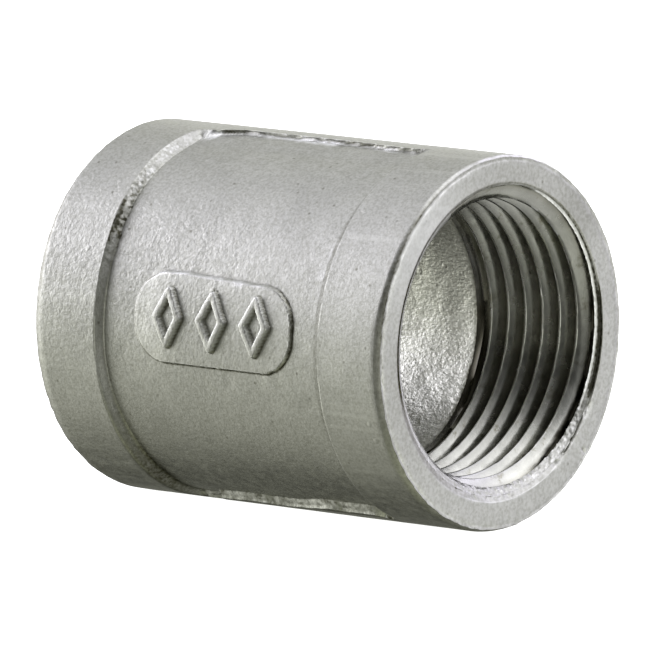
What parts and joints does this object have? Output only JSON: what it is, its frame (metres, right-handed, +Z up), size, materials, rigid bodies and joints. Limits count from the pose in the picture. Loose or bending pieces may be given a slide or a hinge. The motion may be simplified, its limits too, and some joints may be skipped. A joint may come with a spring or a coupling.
{
  "type": "banded pipe coupling",
  "caption": "Straight banded pipe coupling: a short cast sleeve with a raised band round each end, two long ribs, a raised oval pad and tapered internal pipe threads.",
  "frame": {"origin": "centre of the coupling, on the bore axis midway between the two end faces", "axes": "+X along the bore axis towards end face A, +Z up through one long rib with the other rib at -Z, the raised oval pad faces -Y"},
  "size_m": [0.038, 0.0316, 0.0316],
  "materials": {
    "cast_steel": "bead-blasted investment-cast stainless steel, machined threads and end faces"
  },
  "bodies": {
    "root": {"coupling_body": "cast_steel"}
  },
  "joints": []
}
